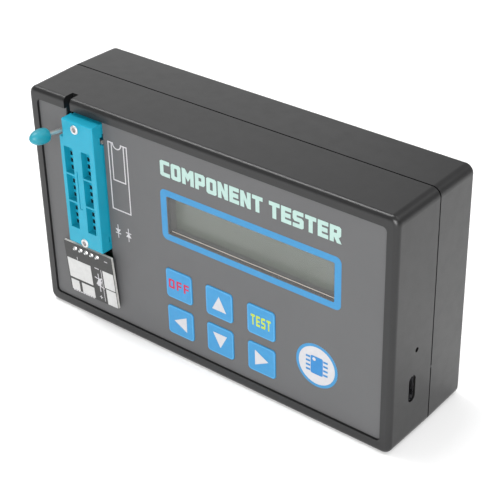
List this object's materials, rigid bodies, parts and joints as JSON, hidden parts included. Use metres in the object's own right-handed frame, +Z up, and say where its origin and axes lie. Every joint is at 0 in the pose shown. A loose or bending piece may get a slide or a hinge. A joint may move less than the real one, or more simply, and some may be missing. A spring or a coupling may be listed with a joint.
{
  "type": "component tester",
  "caption": "Hand-held component tester: two-part plastic case with a display, keys, a lever-locked test socket, a small board of test pads and a charging port.",
  "frame": {"origin": "middle of the flat bottom side on which the case stands", "axes": "+Z up, the panel faces -Y, +X to the right of someone facing the panel"},
  "size_m": [0.144, 0.0565, 0.0825],
  "materials": {
    "case_black": "fine satin grain",
    "film_grey": "matte printed film",
    "clear_film": "clear polyester window",
    "key_blue": "matte printed film",
    "bezel_black": "satin black",
    "display_glass": "smooth",
    "diffuser_white": "milky",
    "pcb_green": "solder mask",
    "pcb_black": "solder mask",
    "pin_plastic": "moulded",
    "chip_black": "moulded",
    "ferrite": "sintered",
    "capacitor_can": "drawn",
    "led_clear": "clear",
    "port_steel": "plated",
    "screw_black": "black zinc",
    "screw_steel": "zinc",
    "tape_foam": "foam",
    "battery_foil": "foil",
    "connector_white": "moulded",
    "lead_red": "insulation",
    "socket_blue": "satin moulded",
    "knob_turquoise": "satin dipped",
    "contact_tin": "tinned",
    "pad_tin": "levelled tin",
    "solder_tin": "solder",
    "eyelet_nickel": "nickel plated",
    "wire_steel": "drawn wire"
  },
  "bodies": {
    "root": {"front_cover": "case_black", "rear_cover": "case_black", "case_screws": "screw_black", "panel_film": "film_grey", "film_window": "clear_film", "display_bezel": "bezel_black", "display_glass": "display_glass", "display_backlight": "diffuser_white", "display_board": "pcb_green", "display_header": "pin_plastic", "main_board": "pcb_green", "board_screws": "screw_steel", "microcontroller": "chip_black", "pin_driver": "chip_black", "charger_chip": "chip_black", "chip_resistors": "chip_black", "boost_inductor": "ferrite", "capacitors": "capacitor_can", "status_led": "led_clear", "usb_shell": "port_steel", "usb_tongue": "pin_plastic", "battery_tape": "tape_foam", "battery_cell": "battery_foil", "battery_socket": "connector_white", "battery_plug": "connector_white", "battery_leads": "lead_red", "switch_bodies": "pin_plastic", "socket_base": "socket_blue", "socket_contacts_left": "contact_tin", "socket_contacts_right": "contact_tin", "socket_strips": "pin_plastic", "pad_board": "pcb_black", "test_pads": "pad_tin", "pad_header": "pin_plastic", "pad_pins": "solder_tin", "pad_header_socket": "pin_plastic"},
    "lever": {"lever_wire": "wire_steel", "lever_knob": "knob_turquoise"},
    "socket_slider": {"socket_cover": "socket_blue", "socket_eyelets": "eyelet_nickel"},
    "body_key_off": {"key_off": "key_blue", "plunger_off": "pin_plastic"},
    "body_key_up": {"key_up": "key_blue", "plunger_up": "pin_plastic"},
    "body_key_test": {"key_test": "key_blue", "plunger_test": "pin_plastic"},
    "body_key_left": {"key_left": "key_blue", "plunger_left": "pin_plastic"},
    "body_key_down": {"key_down": "key_blue", "plunger_down": "pin_plastic"},
    "body_key_right": {"key_right": "key_blue", "plunger_right": "pin_plastic"}
  },
  "joints": [
    {"name": "lever_hinge", "type": "hinge", "parent": "root", "child": "lever", "pos_m": [-0.05415, -0.01795, 0.07175], "axis": [-1, 0, 0], "range_deg": [0, 80]},
    {"name": "socket_slide", "type": "slide", "parent": "root", "child": "socket_slider", "axis": [0, 0, 1], "range_m": [0, 0.00081]},
    {"name": "press_off", "type": "slide", "parent": "root", "child": "body_key_off", "axis": [0, 1, 0], "range_m": [0, 0.0003], "stiffness_N_per_m": 5000},
    {"name": "press_up", "type": "slide", "parent": "root", "child": "body_key_up", "axis": [0, 1, 0], "range_m": [0, 0.0003], "stiffness_N_per_m": 5000},
    {"name": "press_test", "type": "slide", "parent": "root", "child": "body_key_test", "axis": [0, 1, 0], "range_m": [0, 0.0003], "stiffness_N_per_m": 5000},
    {"name": "press_left", "type": "slide", "parent": "root", "child": "body_key_left", "axis": [0, 1, 0], "range_m": [0, 0.0003], "stiffness_N_per_m": 5000},
    {"name": "press_down", "type": "slide", "parent": "root", "child": "body_key_down", "axis": [0, 1, 0], "range_m": [0, 0.0003], "stiffness_N_per_m": 5000},
    {"name": "press_right", "type": "slide", "parent": "root", "child": "body_key_right", "axis": [0, 1, 0], "range_m": [0, 0.0003], "stiffness_N_per_m": 5000}
  ],
  "couplings": [
    {"joint": "socket_slide", "follows": "lever_hinge", "m_per_rad": 0.000573}
  ]
}
